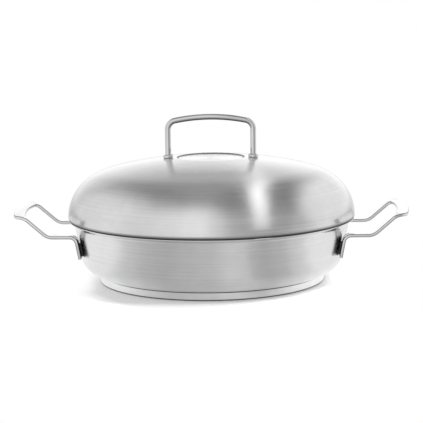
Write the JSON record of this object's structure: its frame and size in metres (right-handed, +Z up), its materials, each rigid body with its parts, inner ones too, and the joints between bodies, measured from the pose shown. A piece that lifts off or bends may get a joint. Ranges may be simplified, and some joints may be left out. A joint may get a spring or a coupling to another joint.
{
  "type": "serving pan",
  "caption": "Round stainless steel serving pan with flared pouring rim, capsule base, loop side handles and a high domed lift-off lid with a bow handle.",
  "frame": {"origin": "centre of the base's underside, on the surface the pan stands on", "axes": "+X through the side handles towards the right-hand one, +Y towards the back, +Z up through the lid"},
  "size_m": [0.3944, 0.2878, 0.1666],
  "materials": {
    "satin_steel": "satin, brushed round the axis",
    "polished_steel": "polished stainless steel",
    "core_aluminium": "bare, sealed inside the base"
  },
  "bodies": {
    "pan": {"pan_bowl": "satin_steel", "base_core": "core_aluminium", "base_cap": "polished_steel", "left_handle": "polished_steel", "right_handle": "polished_steel"},
    "lid": {"lid_dome": "satin_steel", "lid_handle": "polished_steel", "lid_handle_left_collar": "polished_steel", "lid_handle_right_collar": "polished_steel"}
  },
  "joints": [
    {"name": "lid_lift", "type": "slide", "parent": "pan", "child": "lid", "axis": [0, 0, 1], "range_m": [0, 0.15]}
  ]
}
